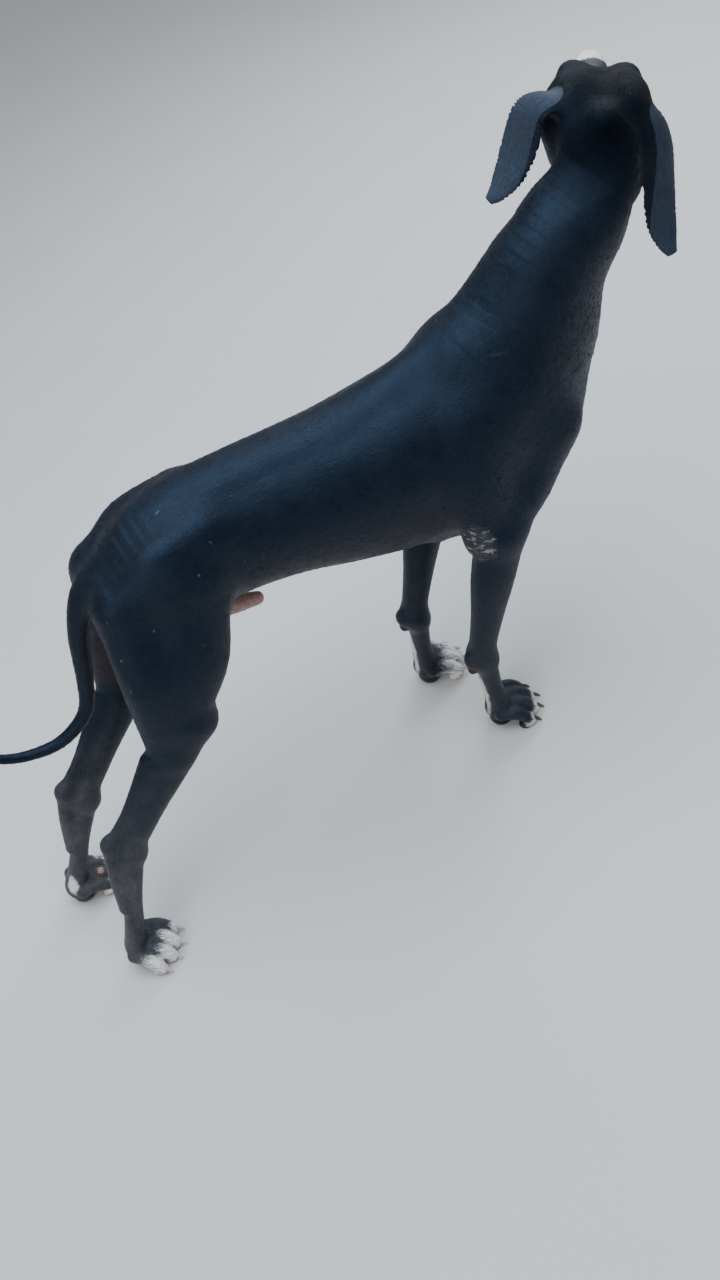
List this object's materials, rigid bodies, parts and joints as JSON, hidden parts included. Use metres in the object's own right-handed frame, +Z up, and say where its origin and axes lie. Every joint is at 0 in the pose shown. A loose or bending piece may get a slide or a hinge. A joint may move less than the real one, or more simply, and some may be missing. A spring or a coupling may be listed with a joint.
{
  "type": "great dane",
  "caption": "Life-size Great Dane standing square with its head turned back over the left side, natural hanging ears and a curved tail.",
  "frame": {"origin": "middle of the bounding box on the floor that the four paws stand on", "axes": "+X from the tail towards the chest, +Y to the left of the dog, +Z up"},
  "size_m": [1.4828, 0.4234, 1.039],
  "materials": {
    "coat": "short glossy black coat",
    "ear_coat": "thin soft coat, bluish black",
    "nose_leather": "moist fine-grained black leather",
    "paw_coat": "short white and black coat over pads and pale claws",
    "eye": "wet dark brown"
  },
  "bodies": {
    "root": {"torso": "coat", "neck": "coat", "head": "coat", "nose": "nose_leather", "tail_base": "coat", "tail_middle": "coat", "tail_tip": "coat", "ear_left": "ear_coat", "eye_left": "eye", "forearm_left": "coat", "pastern_left": "coat", "forepaw_left": "paw_coat", "thigh_left": "coat", "shank_left": "coat", "hock_left": "coat", "hindpaw_left": "paw_coat", "ear_right": "ear_coat", "eye_right": "eye", "forearm_right": "coat", "pastern_right": "coat", "forepaw_right": "paw_coat", "thigh_right": "coat", "shank_right": "coat", "hock_right": "coat", "hindpaw_right": "paw_coat"}
  },
  "joints": []
}
